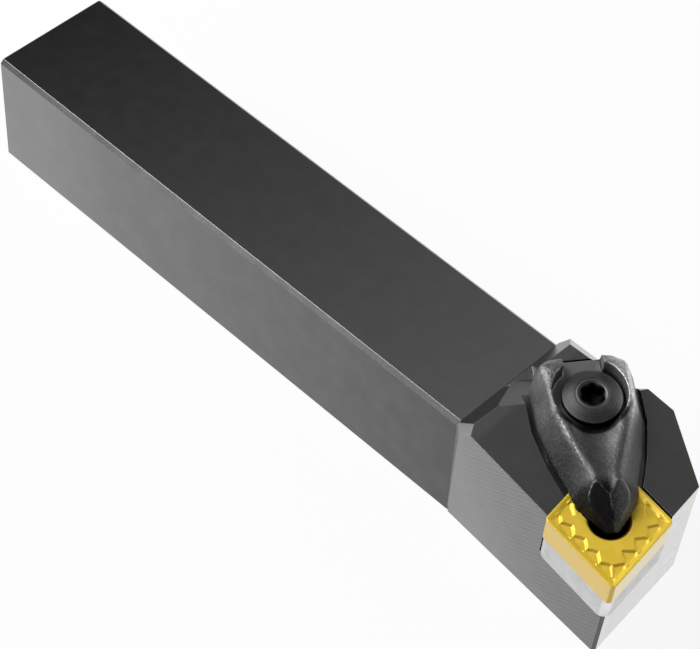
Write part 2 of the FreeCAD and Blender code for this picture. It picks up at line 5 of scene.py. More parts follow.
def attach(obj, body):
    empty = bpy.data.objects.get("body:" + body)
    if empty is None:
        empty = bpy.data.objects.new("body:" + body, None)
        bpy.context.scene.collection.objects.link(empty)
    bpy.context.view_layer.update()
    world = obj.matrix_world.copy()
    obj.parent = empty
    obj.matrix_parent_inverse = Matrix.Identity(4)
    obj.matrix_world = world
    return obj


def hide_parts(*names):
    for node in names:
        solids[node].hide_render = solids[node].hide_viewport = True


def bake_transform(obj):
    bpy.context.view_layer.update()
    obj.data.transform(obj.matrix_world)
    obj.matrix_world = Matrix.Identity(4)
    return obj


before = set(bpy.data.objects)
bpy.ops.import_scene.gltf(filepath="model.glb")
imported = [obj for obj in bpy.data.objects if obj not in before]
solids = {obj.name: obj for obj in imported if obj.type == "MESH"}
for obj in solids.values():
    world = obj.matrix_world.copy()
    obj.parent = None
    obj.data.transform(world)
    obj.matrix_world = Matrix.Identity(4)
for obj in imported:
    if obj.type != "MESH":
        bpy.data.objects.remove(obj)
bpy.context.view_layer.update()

# Holder body: one milled and blackened steel bar, a square shank with an angled head. The cutter has
# left slanting lines on the head's near side. The end face beside the insert is ground, and its
# brightness is a painted reflection. Every edge is broken a little, and the insert's pocket and the
# clamp's recess are cut in it.

# Sizes are in millimetres, and MM turns them into the scene's metres.
MM = 0.001

# The seat is a frame of its own: it starts at the insert's sharp nose, x runs back along the insert
# and z stands off its face.
nose = (125.0756, -15.0756, 20)
seat_turn = math.radians(135)
seat_lean = math.radians(-7.8)
seat = (Matrix.Translation(Vector(nose) * MM)
        @ Matrix.Rotation(seat_turn, 4, "Z") @ Matrix.Rotation(seat_lean, 4, "Y"))


def heading(place, *way):
    """A direction in a frame of its own, as a direction of the whole part."""
    return tuple(place.to_3x3() @ Vector(way))


def seat_heading(degrees):
    """The direction at an angle in the seat's plane."""
    return heading(seat, math.cos(math.radians(degrees)), math.sin(math.radians(degrees)), 0)


class Tone:
    """A shader socket that takes part in Python sums."""

    def __init__(self, tree, socket):
        self.tree = tree
        self.socket = socket

    def maths(self, operation, *values):
        return self.tree.add("ShaderNodeMath", {"operation": operation}, values)

    def __add__(self, other):
        return self.maths("ADD", self, other)

    def __sub__(self, other):
        return self.maths("SUBTRACT", self, other)

    def __rsub__(self, other):
        return self.maths("SUBTRACT", other, self)

    def __mul__(self, other):
        return self.maths("MULTIPLY", self, other)

    def __truediv__(self, other):
        return self.maths("DIVIDE", self, other)

    __radd__ = __add__
    __rmul__ = __mul__

    def size(self):
        return self.maths("ABSOLUTE", self)

    def at_least(self, other):
        return self.maths("MAXIMUM", self, other)

    def at_most(self, other):
        return self.maths("MINIMUM", self, other)

    def wave(self, period):
        """A ripple from -1 to 1 over this length."""
        return self.maths("SINE", self * (2 * math.pi / period))

    def step(self, start, end, low=0.0, high=1.0):
        """The low value before the start, the high one past the end, and a soft step between."""
        return self.tree.add("ShaderNodeMapRange", {"interpolation_type": "SMOOTHSTEP"},
                             (self, start, end, low, high))

    def above(self, edge, width):
        """0 below the edge and 1 past its width."""
        return self.step(edge, edge + width)

    def below(self, edge, width):
        """1 until its width before the edge, and 0 past the edge."""
        return 1 - self.above(edge - width, width)


class Nodes:
    """A node tree in which one call adds a node, sets it and joins it up."""

    def __init__(self, tree):
        self.tree = tree
        self.nodes = tree.nodes

    def add(self, kind, settings=(), inputs=(), output=0):
        node = self.nodes.new(kind)
        for name, value in dict(settings).items():
            setattr(node, name, value)
        pairs = inputs.items() if isinstance(inputs, dict) else enumerate(inputs)
        for name, value in pairs:
            self.join(value, node.inputs[name])
        return Tone(self, node.outputs[output]) if node.outputs else None

    def vector(self, operation, output, *values):
        return self.add("ShaderNodeVectorMath", {"operation": operation}, values, output)

    def join(self, value, socket):
        if isinstance(value, Tone):
            value = value.socket
        if isinstance(value, bpy.types.NodeSocket):
            self.tree.links.new(value, socket)
        else:
            socket.default_value = value


class Finish(Nodes):
    """A surface finish: a material with one Principled shader, and what varies over it."""

    def __init__(self, name, metallic=1.0):
        self.material = bpy.data.materials.new(name)
        self.material.use_nodes = True
        super().__init__(self.material.node_tree)
        self.shader = self.nodes["Principled BSDF"]
        self.shader.inputs["Metallic"].default_value = metallic
        self.place = self.add("ShaderNodeTexCoord", output="Object")

    def from_point(self, origin):
        return self.vector("SUBTRACT", "Vector", self.place, origin)

    def along(self, direction, origin=(0, 0, 0)):
        """Distance in millimetres from a point, along a direction."""
        return self.vector("DOT_PRODUCT", "Value", self.from_point(origin), direction) / MM

    def around(self, axis, origin):
        """Distance in millimetres from an axis."""
        off = self.vector("CROSS_PRODUCT", "Vector", self.from_point(origin), axis)
        return self.vector("LENGTH", "Value", off) / MM

    def facing(self, direction):
        """How far the surface itself faces a direction, from -1 to 1."""
        normal = self.add("ShaderNodeNewGeometry", output="Normal")
        return self.vector("DOT_PRODUCT", "Value", normal, direction)

    def grain(self, scale, detail, stretch=(1, 1, 1), turn=(0, 0, 0)):
        """Noise from 0 to 1, scale cycles a millimetre."""
        where = self.add("ShaderNodeMapping", {}, {"Vector": self.place, "Rotation": turn, "Scale": stretch})
        return self.add("ShaderNodeTexNoise", {}, {"Vector": where, "Scale": scale / MM, "Detail": detail})

    def mark(self, name):
        """A number kept on the mesh's points."""
        return self.add("ShaderNodeAttribute", {"attribute_name": name}, output="Fac")

    def blend(self, share, first, second):
        """A colour between two, by a share: inputs 6 and 7 and output 2 are the Mix node's colours."""
        first, second = [(*c, 1) if isinstance(c, tuple) else c for c in (first, second)]
        return self.add("ShaderNodeMix", {"data_type": "RGBA"}, {0: share, 6: first, 7: second}, 2)

    def grey(self, tone, tint=(1, 1, 1)):
        """A tone as a colour, with a slight tint."""
        return self.blend(tone, (0, 0, 0), tint)

    def bump(self, height, distance):
        self.set(Normal=self.add("ShaderNodeBump", {}, {"Height": height, "Distance": distance}))

    def set(self, **values):
        for name, value in values.items():
            self.join(value, self.shader.inputs[name.replace("_", " ")])


def shown(name, data):
    piece = bpy.data.objects.new(name, data)
    bpy.context.collection.objects.link(piece)
    return piece


def dress(piece, finish):
    piece.data.materials.clear()
    piece.data.materials.append(finish.material)


def settle(piece):
    """Turns the piece's modifiers into mesh."""
    bpy.context.view_layer.update()
    shaped = piece.evaluated_get(bpy.context.evaluated_depsgraph_get())
    piece.data = bpy.data.meshes.new_from_object(shaped)
    piece.modifiers.clear()


def joined_up(node, name, whole_faces):
    """A copy of the solid's mesh with its corners joined, and its flat faces in one piece if asked."""
    mesh = bpy.data.meshes.new(name)
    bm = bmesh.new()
    bm.from_mesh(solids[node].data)
    bmesh.ops.remove_doubles(bm, verts=bm.verts, dist=0.002 * MM)
    if whole_faces:
        bmesh.ops.dissolve_limit(bm, angle_limit=math.radians(0.6), verts=bm.verts, edges=bm.edges)
    bm.to_mesh(mesh)
    bm.free()
    return shown(name, mesh)


def broken_edges(node, name, width):
    """The solid's own shape with its edges broken."""
    piece = joined_up(node, name, whole_faces=True)
    bevel = piece.modifiers.new("edge_break", "BEVEL")
    bevel.width = width
    bevel.segments = 2
    bevel.limit_method = "ANGLE"
    bevel.angle_limit = math.radians(24)
    bevel.use_clamp_overlap = True
    bevel.harden_normals = True
    settle(piece)
    return piece


bar = broken_edges("holder_body", "blackened_bar", width=0.12 * MM)
holder_finish = Finish("holder_steel")
seat_up = heading(seat, 0, 0, 1)
length_on = holder_finish.along((1, 0, 0))
shank_top = holder_finish.facing((0, 0, 1)).above(0.995, 0.002)
near_side = holder_finish.facing((0, -1, 0)).above(0.995, 0.002)
back_slope = holder_finish.facing((-0.719, 0, 0.695)).above(0.993, 0.004)
heel_slope = holder_finish.facing((-0.809, 0, 0.588)).above(0.995, 0.003)
ramp_top = holder_finish.facing((-0.363, 0.253, 0.897)).above(0.985, 0.01)
head_top = holder_finish.facing(seat_up).above(0.9972, 0.002) * length_on.above(98, 1)
near_chamfer = holder_finish.facing((0, -0.7071, 0.7071)).above(0.96, 0.03)
far_chamfer = holder_finish.facing((0, 0.7071, 0.7071)).above(0.97, 0.02) * length_on.above(93, 1)
corner_facets = (holder_finish.facing((-0.673, -0.486, 0.558)).above(0.99, 0.008)
                 + holder_finish.facing((-0.7071, -0.7071, 0)).above(0.97, 0.02)
                 ) * holder_finish.along((0, -1, 0)).above(8, 1)
stop_wall = holder_finish.facing((-0.603, -0.798, -0.019)).above(0.985, 0.01)
nose_strip = holder_finish.facing(seat_heading(180)).above(0.97, 0.02)
head_side = holder_finish.facing(seat_heading(130)).above(0.985, 0.01) * length_on.above(95.5, 1)
end_face = holder_finish.facing(seat_heading(230)).above(0.93, 0.04)
mottle = holder_finish.grain(0.35, 5)
fine = holder_finish.grain(7, 3)
ground = holder_finish.grain(0.9, 6)
sweep = holder_finish.along((-0.58, 0.05, 0.81))
scratches = holder_finish.grain(1.6, 3, (1, 1, 6), (0, -0.62, 0))
lines = sweep.wave(0.55) * 0.5 + sweep.wave(0.83) * 0.3 + scratches
cutter_way = (0.82, -0.07, 0.57)
cutter_start = (0.0965, -0.0122, 0.012)
cut = head_side * holder_finish.along(cutter_way, cutter_start).above(-8, 18)
tone = 0.255 + (mottle - 0.5) * 0.05 + (fine - 0.5) * 0.05

# Painted light and shade: each face is made lighter or darker as the studio lights it. The shank's top,
# near side and the head's side get gradients along the bar. The slopes, walls, head top, nose strip and
# near chamfer are darker. The far chamfer and corner facets are lighter, and the end face is brightest,
# a painted reflection. The cutter's lines on the head side are the bar's own marks.
for where, shade in (
        (shank_top, (length_on - 86) * 0.002),
        (near_side, length_on * -0.0013 - length_on.above(8, 20) * 0.035),
        (back_slope + ramp_top, -0.15),
        (heel_slope, -0.12),
        (head_top, -0.05),
        (near_chamfer, length_on * 0.0011 - 0.2),
        (far_chamfer, 0.25),
        (corner_facets, 0.19),
        (stop_wall, -0.17),
        (nose_strip, -0.18),
        (head_side, (99 - length_on) * 0.0028),
        (cut, (lines - 0.5) * 0.045),
        (end_face, 0.48 + (ground - 0.5) * 0.22)):
    tone = tone + where * shade
holder_finish.set(Base_Color=holder_finish.grey(tone), Roughness=0.29 + fine * 0.08 + cut * 0.08)
holder_finish.bump(fine * 0.6 + cut * lines * 0.8, 0.006 * MM)
dress(bar, holder_finish)
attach(bar, "holder")
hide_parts("holder_body")

# Shim: a ground hard-metal plate under the insert, of the same outline. It is pale and a little
# mottled, and the insert sits on it.
shim = broken_edges("shim", "shim_plate", width=0.1 * MM)
shim_finish = Finish("shim_metal")
cloud = shim_finish.grain(0.5, 6)
streak = shim_finish.grain(1.2, 4, (1, 1, 5))
shim_nose = shim_finish.facing(seat_heading(180)).above(0.75, 0.2)
# Painted highlight: the shim's nose face is painted lighter than the rest.
tone = 0.62 + shim_nose * 0.2 + (cloud - 0.5) * 0.34 + (streak - 0.5) * 0.18
shim_finish.set(Base_Color=shim_finish.grey(tone, (1, 1, 1.01)), Roughness=0.42 + cloud * 0.2)
shim_finish.bump(shim_finish.grain(6, 3), 0.008 * MM)
dress(shim, shim_finish)
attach(shim, "holder")
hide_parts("shim")

# Shim screw: a small blackened countersunk screw with a hexagon socket. It holds the shim down in
# the pocket and is hidden under the insert.
pin_finish = Finish("pin_steel")
pin_finish.set(Base_Color=(0.12, 0.12, 0.12, 1), Roughness=0.34 + pin_finish.grain(4, 3) * 0.2)
pin_finish.bump(pin_finish.grain(8, 3), 0.006 * MM)
dress(solids["shim_screw"], pin_finish)

# Insert: a rhombic plate of pressed and sintered hard metal with a gold coating, the same on both
# faces. Behind its cutting edges lie a narrow land, a groove, and teeth that break the chip.
# It stands on the shim against the pocket's two walls, and the clamp's nub sits in its bore.
inscribed = 6.35
thickness = 4.76
bore = 2.58
corner = 0.8
hone = 0.045
land = 0.2
groove = 0.28
groove_fall = 0.8
wall_rise = 0.5
tooth_pitch = 2.44
tooth_length = 1.1
tooth_unevenness = 0.22
wall_inward = 0.95
knob_inward = 0.84
knob_length = 0.42
knob_width = 0.16
knob_height = 0.2
bore_land = 0.42
nose_to_centre = inscribed / math.sin(math.radians(40))
plate = seat @ Matrix.Translation((nose_to_centre * MM, 0, 0))
edge_turns = [math.radians(degrees) for degrees in (50, 130, 230, 310)]


def solid_piece(name, place, points, faces):
    """A mesh given in millimetres in a frame of its own, set in its place."""
    mesh = bpy.data.meshes.new(name)
    mesh.from_pydata([place @ (Vector(p) * MM) for p in points], [], faces)
    mesh.shade_smooth()
    return shown(name, mesh)


def ramp(value, start, width):
    """0 before the start, 1 past the width, and straight between."""
    return min(1, max(0, (value - start) / width))


def eased(share):
    """A share from 0 to 1 with both ends rounded off."""
    return share * share * (3 - 2 * share)


def arm_at(turn, length):
    """The end of an arm from the middle, at an angle."""
    return Vector((math.cos(turn), math.sin(turn))) * length


def rhombic_outline(steps, arc_steps):
    """Points round the plate, with its four rounded corners."""
    arcs = []
    for start, end in zip(edge_turns, edge_turns[1:] + [edge_turns[0] + 2 * math.pi]):
        spread = end - start
        middle = arm_at(start + spread / 2, (inscribed - corner) / math.cos(spread / 2))
        arcs.append([middle + arm_at(start + spread * step / arc_steps, corner)
                     for step in range(arc_steps + 1)])
    points = []
    for arc, following in zip(arcs, arcs[1:] + arcs[:1]):
        points += arc
        points += [arc[-1].lerp(following[0], step / steps) for step in range(1, steps)]
    return points


def pressed(x, y):
    """Depth of the pressed chip form at a point of the plate's face."""
    sides = []
    for turn in edge_turns:
        out = x * math.cos(turn) + y * math.sin(turn)
        on = y * math.cos(turn) - x * math.sin(turn)
        sides.append((max(0, inscribed - out), on))
    sides.sort()
    inward, on = sides[0]
    corner_way = sides[1][0]
    tooth = abs(on / tooth_pitch % 1 * 2 - 1)
    reach = tooth_length + tooth_unevenness * math.sin(2.1 * x + 1.3 * y)
    wall = min(wall_inward + reach * tooth, 0.8 + 0.55 * corner_way)
    dip = eased(ramp(inward, land, groove_fall)) * (1 - eased(ramp(inward, wall, wall_rise)))
    knob_on = (on / tooth_pitch % 1 - 0.5) * tooth_pitch
    knob = math.exp(-((knob_on / knob_length) ** 2 + ((inward - knob_inward) / knob_width) ** 2))
    return groove * dip - knob_height * knob * ramp(corner_way, 0, 3)


# Rings of points run from the top's bore rim out to the edge, down the flank, in again under the
# plate and up through the bore. The faces join each ring to the next.
outline = rhombic_outline(steps=104, arc_steps=14)
around = len(outline)
insets = [0, 0.03, 0.08] + [0.16 + 0.075 * k for k in range(36)]
face_rings = [[rim * (1 - inset / inscribed) for rim in outline] for inset in insets]
bore_rim = [rim.normalized() * (bore + bore_land) for rim in outline]
face_rings += [[a.lerp(b, share) for a, b in zip(face_rings[-1], bore_rim)]
               for share in (0.25, 0.5, 0.75, 1)]
top_rings = [[(p.x, p.y, -max(hone if ring is face_rings[0] else 0, pressed(p.x, p.y))) for p in ring]
             for ring in face_rings]
under_rings = [[(x, y, -thickness - z) for x, y, z in ring] for ring in top_rings]
flank_rings = [[(p.x, p.y, -drop) for p in outline] for drop in (0.1, 0.9, 2.3, 3.8, 4.66)]
bore_rings = [[(*(p.normalized() * radius), -drop) for p in outline] for drop, radius in (
    (4.62, 2.82), (4.36, bore), (2.38, bore), (0.4, bore), (0.14, 2.82))]
rings = top_rings[::-1] + flank_rings + under_rings + bore_rings
points = [point for ring in rings for point in ring]
faces = [
    (ring * around + step, (ring + 1) % len(rings) * around + step,
     (ring + 1) % len(rings) * around + (step + 1) % around, ring * around + (step + 1) % around)
    for ring in range(len(rings)) for step in range(around)
]
insert = solid_piece("pressed_insert", plate, points, faces)
gold_finish = Finish("gold_coating")
flank = 1 - gold_finish.facing(seat_up).size().above(0.3, 0.3)
# Masks for painted light: the nose arc, the teeth's walls and the bore get painted shade, and the end flank
# gets a painted reflection.
nose_arc = gold_finish.facing(seat_heading(180)).above(0.9, 0.06) * flank
end_flank = gold_finish.facing(seat_heading(230)).above(0.9, 0.06) * flank
bore_edge = gold_finish.around(seat_up, tuple(plate.translation)).below(2.98, 0.12)
haze = gold_finish.grain(0.6, 4)
tooth_painted_shade = gold_finish.facing((0.707, -0.707, 0)).above(0.36, 0.2) * (1 - flank)
gold = gold_finish.blend(haze.above(0.3, 0.4), (0.92, 0.635, 0.045), (0.98, 0.69, 0.065))
# Painted shade on the teeth's walls that face away from the lamp, on the nose arc and in the bore, and a
# painted reflection on the end flank.
for share, colour in (
        (tooth_painted_shade * 0.65, (0.42, 0.25, 0.02)),
        (flank, (0.76, 0.56, 0.19)),
        (nose_arc, (0.52, 0.35, 0.07)),
        (end_flank, (0.84, 0.75, 0.5)),
        (bore_edge, (0.2, 0.1, 0.03))):
    gold = gold_finish.blend(share, gold, colour)
gold_finish.set(Base_Color=gold, Roughness=0.34 + haze * 0.12, Metallic=0.25 + flank * 0.7)
gold_finish.bump(gold_finish.grain(5, 4), 0.008 * MM)
dress(insert, gold_finish)
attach(insert, "holder")
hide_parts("insert")

# Clamp: a drop-forged arm of dark steel. Its beak bears on the insert, and its rear wings stand each
# side of a milled slot for the screw. The forged skin is grainy with rubbed rims. Light and shade are
# painted on it, lighter towards the rear and on the rims, and darker at the beak.
clamp_frame = (seat @ Matrix.Translation((26.1 * MM, 2.25 * MM, 0))
               @ Matrix.Rotation(math.radians(8), 4, "Z"))
slot_radius = 5
slot_half = 2.65
lobe_back = 4.7
lobe_side = 5.2
lobe_reach = 1.6
left_lobe = 0.85
right_lobe = 0.25
wing_drop = 0.25
body_top = 2.9
valley_front = -13
valley_rear = -5.2
valley_fill = 0.6
wing_start = -3
wing_share = 0.22
beak_start = 11.5
beak_share = 0.05
skin_cell = 0.16
arm = joined_up("clamp", "forged_arm", whole_faces=False)
voxels = arm.modifiers.new("skin", "REMESH")
voxels.mode = "VOXEL"
voxels.voxel_size = skin_cell * MM
settle(arm)


def off_slot(back, side):
    """Distance outside the slot's wall, which is round in front and straight behind."""
    off = math.hypot(back, side) - slot_radius
    return min(off, abs(side) - slot_half) if back > 0 else off


def forged(back, side, up):
    """Where a point of the clamp goes as the die rounds its wings and fills its valley."""
    here = Vector((back, side, up))
    off = off_slot(back, side)
    if off > 0:
        from_lobe = math.hypot(back - lobe_back, abs(side) - lobe_side)
        fullness = left_lobe if side > 0 else right_lobe
        lobe = fullness * math.exp(-((from_lobe / lobe_reach) ** 2)) * ramp(up, 0.8, 2)
        here += Vector((0.45, math.copysign(0.5, side), 0.35)) * lobe
        here.z -= wing_drop * ramp(back, -4, 3) * ramp(up, 1.5, 2.5) * min(2, off) ** 1.2
    crest_half = 4.3 + (back + 5) * 0.48
    if valley_front < back < valley_rear and abs(side) < crest_half and up > body_top:
        crest = 5 + (back + 2) * 0.099
        fill = valley_fill * ramp(-back, -valley_rear, 2.5) * ramp(back, valley_front, 1.5)
        here.z += fill * max(0, crest - 0.15 - up)
    return here


def softness(back, side, up):
    """How much of the smoothing a point takes: most on the body, little on the wings and beak."""
    share = ramp(up, 0.6, 0.6) * ramp(off_slot(back, side), 0.05, 0.5)
    if back > wing_start:
        return share * wing_share
    return share * max(beak_share, 1 - ramp(-back, beak_start, 1.2))


to_clamp = clamp_frame.inverted()
softened = arm.vertex_groups.new(name="softened")
for vertex in arm.data.vertices:
    spot = to_clamp @ vertex.co / MM
    vertex.co = clamp_frame @ (forged(*spot) * MM)
    softened.add([vertex.index], softness(*spot), "REPLACE")
sharp = [v.co.copy() for v in arm.data.vertices]
for name, repeats in (("all_over", 5), ("softened", 350)):
    smooth = arm.modifiers.new(name, "SMOOTH")
    smooth.factor = 0.5
    smooth.iterations = repeats
    if name == softened.name:
        smooth.vertex_group = name
settle(arm)
rim = arm.data.attributes.new("rim", "FLOAT", "POINT")
rim.data.foreach_set("value", [(a - v.co).dot(v.normal) / MM for a, v in zip(sharp, arm.data.vertices)])
arm.data.shade_smooth()

forged_finish = Finish("forged_steel")
clamp_origin = tuple(clamp_frame.translation)
back, side, up = [forged_finish.along(heading(clamp_frame, *way), clamp_origin)
                  for way in ((1, 0, 0), (0, 1, 0), (0, 0, 1))]
off_centre = forged_finish.around(heading(clamp_frame, 0, 0, 1), clamp_origin)
speck = forged_finish.grain(5.5, 5)
coarse = forged_finish.grain(2.4, 4)
patch = forged_finish.grain(0.45, 4)
sparkle = forged_finish.grain(3.4, 2).above(0.57, 0.1)

body_seam = (back * 0.309 - side * 0.951 + 5.53).size().below(0.12, 0.1)
body_seam = body_seam * back.below(-1.9, 0.5) * back.above(-10.4, 1.4)
wing_seam = (off_centre - 5.15).size().below(0.14, 0.12)
wing_seam = wing_seam * back.above(-2.4, 0.8) * back.below(4.6, 1) * side.above(0, 0.5)
seam = (body_seam + wing_seam * 0.5) * up.above(2.6, 0.5) * coarse.above(0.42, 0.12)
facet_rims = 0
facet_steep = math.radians(57.4)
ridge_foot = tuple(clamp_frame @ (Vector((-14.4, 0, 3.5)) * MM))
for facet_turn in (math.radians(147.6), math.radians(-147.6)):
    off_beak = heading(clamp_frame, *arm_at(facet_turn, math.cos(facet_steep)), math.sin(facet_steep))
    past_facet = forged_finish.along(off_beak, ridge_foot).size().below(0.16, 0.1)
    facet_rims = facet_rims + past_facet * forged_finish.facing(off_beak).below(0.975, 0.02)
facet_rims = facet_rims * back.below(-12, 0.3) * up.above(2.2, 0.6) * (0.4 + speck.above(0.45, 0.15))

in_slot = off_centre.below(5.02, 0.05) + side.size().below(2.67, 0.05) * back.above(0, 0.1)
milled = in_slot.at_most(1.0)
# Painted shade: the milled slot's floor darkens towards the front, under the screw's flange, and along its
# right side.
milled_tone = (0.27 - back.below(-1, 3) * 0.26) * (1 - side.below(-2.2, 0.2) * 0.75)
front_wall = off_centre.below(5.8, 0.4) * back.below(-1.6, 2)
painted_rear_light = back.above(-9, 10)
beak = back.below(-12, 1.6)
left_beak = back.below(-11.8, 1.5) * side.above(-0.3, 0.4) * side.below(2.6, 1)
left_flank = side.above(1.5, 2) * back.below(-5, 4)
right_flank = side.below(2, 5)
right_rim = side.below(-2.6, 2.4) * up.above(2, 1.2) * back.above(-5, 4)
right_rim = right_rim * (0.6 + coarse.above(0.42, 0.2) * 0.4)
right_crest = (back + 5).size().below(2.6, 2) * (side + 2.4).size().below(1, 0.9)
hollow = (side - 1).size().below(3.6, 2) * back.below(-4.6, 1) * back.above(-12.6, 1)
wing_tops = back.above(1, 2.5) * up.above(2.8, 1) * (0.3 + coarse.above(0.42, 0.2))
rim_wear_and_glint = forged_finish.mark("rim").above(0.1, 0.3) * (0.35 + coarse.above(0.4, 0.2))
tone = 0.07 + (patch - 0.5) * 0.05 + (speck - 0.5) * 0.11 + (coarse - 0.5) * 0.09

# Painted light and shade: the forging is darker at its beak, left beak and left flank, and lighter
# towards its rear and on its right flank. Its right rim, wing tops and valley are painted lighter as lit.
# The parting-line crests and the beak facets' rims carry painted highlights. Its convex rims are lighter,
# partly from wear and partly as a painted glint.
for where, shade in (
        (painted_rear_light, 0.075),
        (beak, -0.05),
        (left_beak, -0.035),
        (left_flank, -0.012),
        (right_flank, 0.07),
        (right_rim, 0.52),
        (hollow, 0.04),
        (wing_tops, 0.06),
        (rim_wear_and_glint, 0.03 + painted_rear_light * 0.14),
        (seam, 0.2),
        (facet_rims, 0.1)):
    tone = tone + where * shade
# Painted glints sparkle over the skin, and they are stronger towards the rear.
tone = tone.at_least(0.014) + sparkle * (0.012 + painted_rear_light * 0.03 + back.above(-12, 2) * 0.03)
# Painted shade: the slot's front wall under the screw's flange is darkened almost to black, and a spot at
# the right crest is darker.
tone = tone * (1 - right_crest * 0.4) * (1 - front_wall * 0.85)
tone = tone * (1 - milled) + milled * milled_tone
forged_finish.set(Base_Color=forged_finish.grey(tone), Roughness=0.42 + speck * 0.16)
forged_finish.bump((speck + coarse) * (1 - milled), 0.05 * MM)
dress(arm, forged_finish)
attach(arm, "clamp")
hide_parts("clamp")

# Clamp screw: a turned and blackened steel screw with a coned flange, a rolled thread and a
# six-lobed socket. It pulls the clamp down on the insert and into the heel's ramp.
screw_back = 26.4
screw_side = 1.75
flange_seat = 2.2
screw_frame = seat @ Matrix.Translation((screw_back * MM, screw_side * MM, flange_seat * MM))
screw_radius = 2.5
screw_foot = -15
thread_pitch = 0.8
thread_depth = 0.43
thread_flank = 1.35
thread_crest = 0.2
thread_runout = 0.6
runout_depth = 0.2
thread_from = -14.7
thread_to = -3
steps_a_turn = 10
thread_steps = int((thread_to - thread_from) / thread_pitch * steps_a_turn)
socket_lobes = 6
segments = 96


def thread(turn, height):
    """Radius of the rolled thread, which runs out at both ends."""
    phase = (height / thread_pitch - turn / (2 * math.pi)) % 1
    dip = ramp(abs(phase * 2 - 1) * thread_flank, thread_crest, 1)
    full = ramp(min(height - thread_from, thread_to - height), 0, thread_runout)
    return screw_radius - thread_depth * dip * full - runout_depth * (1 - full)


def socket_wall(turn, height):
    return 1.47 + 0.2 * math.cos(socket_lobes * turn)


def socket_floor(turn, height):
    return 1.3 + 0.18 * math.cos(socket_lobes * turn)


thread_rise = (thread_to - thread_from) / thread_steps
foot = [(1.5, screw_foot), (1.9, screw_foot), (2.03, -14.9)]
threaded = [(thread, thread_from + thread_rise * k) for k in range(thread_steps + 1)]
neck = [(2.45, -2.8), (screw_radius, -2.6), (screw_radius, -0.15), (2.6, 0.0)]
flange = [(3.9, 0.0), (4.02, 0.05), (4.08, 0.17), (4.08, 0.6), (4.05, 0.72), (3.96, 0.8)]
cone = [(3.6, 0.95), (3.2, 1.12), (2.8, 1.3), (2.42, 1.44), (2.36, 1.45), (2.28, 1.44)]
rim_roll = [(2.2, 1.49), (2.1, 1.525), (1.98, 1.53), (1.88, 1.5), (1.8, 1.42)]
socket = [(socket_wall, height) for height in (1.3, 1.1, 0.3, -0.4)]
socket += [(socket_floor, -0.47), (0.5, -0.62)]

# The turned profile, as radius and height: from the foot up to the rim and down into the socket.
levels = foot + threaded + neck + flange + cone + rim_roll + socket
points = []
for radius, height in levels:
    for step in range(segments):
        turn = 2 * math.pi * step / segments
        reach = radius(turn, height) if callable(radius) else radius
        points.append((*arm_at(turn, reach), height))
faces = [
    (level * segments + step, level * segments + (step + 1) % segments,
     (level + 1) * segments + (step + 1) % segments, (level + 1) * segments + step)
    for level in range(len(levels) - 1) for step in range(segments)
]
foot_point = len(points)
floor_point = foot_point + 1
last_level = (len(levels) - 1) * segments
points += [(0, 0, screw_foot), (0, 0, -0.75)]
faces += [(foot_point, (step + 1) % segments, step) for step in range(segments)]
faces += [(floor_point, last_level + step, last_level + (step + 1) % segments)
          for step in range(segments)]
screw = solid_piece("flanged_screw", screw_frame, points, faces)

screw_finish = Finish("screw_steel")
screw_seat = tuple(screw_frame.translation)
rise = screw_finish.along(seat_up, screw_seat)
ring_out = screw_finish.around(seat_up, screw_seat)
across = screw_finish.along(heading(clamp_frame, 0, 1, 0), screw_seat)
cut_rings = ring_out.wave(0.17) * 0.5 + ring_out.wave(0.43) * 0.5
sooty = screw_finish.grain(1.4, 4)
in_socket = ring_out.below(1.78, 0.06) * rise.below(1.42, 0.08)
on_cone = rise.above(0.62, 0.12)
socket_lip = (ring_out - 2.12).size().below(0.12, 0.1) * 0.1
flange_lip = (ring_out - 3.86).size().below(0.14, 0.1) * 0.06
# Painted light and shade: the rims of the socket and the flange carry painted highlights, one side of the
# flange is painted lighter than the other, and the socket and the flange's side wall are painted black as
# shade.
tone = 0.105 + (socket_lip + flange_lip) + cut_rings * 0.02 + (sooty - 0.5) * 0.08
tone = tone * (0.75 - across * 0.15 + across * across * 0.05) * (1 - in_socket) * on_cone + 0.012
screw_finish.set(Base_Color=screw_finish.grey(tone), Roughness=0.5 + sooty * 0.12)
screw_finish.bump(cut_rings, 0.004 * MM)
dress(screw, screw_finish)
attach(screw, "clamp_screw")
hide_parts("clamp_screw")

# Spring: drawn steel wire wound in three turns round the screw. It stands in the counterbore and
# lifts the clamp when the screw is let go.
spring_foot = -6
wire_radius = 0.3
spring_rise = 4.2
coil_radius = 3.3
wire_finish = Finish("spring_wire")
wire_finish.set(Base_Color=(0.4, 0.4, 0.41, 1), Roughness=0.24 + wire_finish.grain(3, 3) * 0.16)
wire_finish.bump(wire_finish.grain(6, 3), 0.005 * MM)
coil_frame = seat @ Matrix.Translation((screw_back * MM, screw_side * MM, spring_foot * MM))
coil_sizes = {
    "Turns": 3.0,
    "Mean radius": coil_radius * MM,
    "Rise": spring_rise * MM,
    "Wire radius": wire_radius * MM,
}
coil_tree = bpy.data.node_groups.new("wound_wire", "GeometryNodeTree")
coil_keys = {
    label: coil_tree.interface.new_socket(label, in_out="INPUT", socket_type="NodeSocketFloat").identifier
    for label in coil_sizes
}
coil_tree.interface.new_socket("Coil", in_out="OUTPUT", socket_type="NodeSocketGeometry")
winder = Nodes(coil_tree)
given = {label: winder.add("NodeGroupInput", output=label) for label in coil_sizes}
path = winder.add("GeometryNodeCurveSpiral", {}, {
    "Resolution": 48, "Rotations": given["Turns"], "Start Radius": given["Mean radius"],
    "End Radius": given["Mean radius"], "Height": given["Rise"]}, "Curve")
section = winder.add("GeometryNodeCurvePrimitiveCircle", {}, {
    "Resolution": 16, "Radius": given["Wire radius"]}, "Curve")
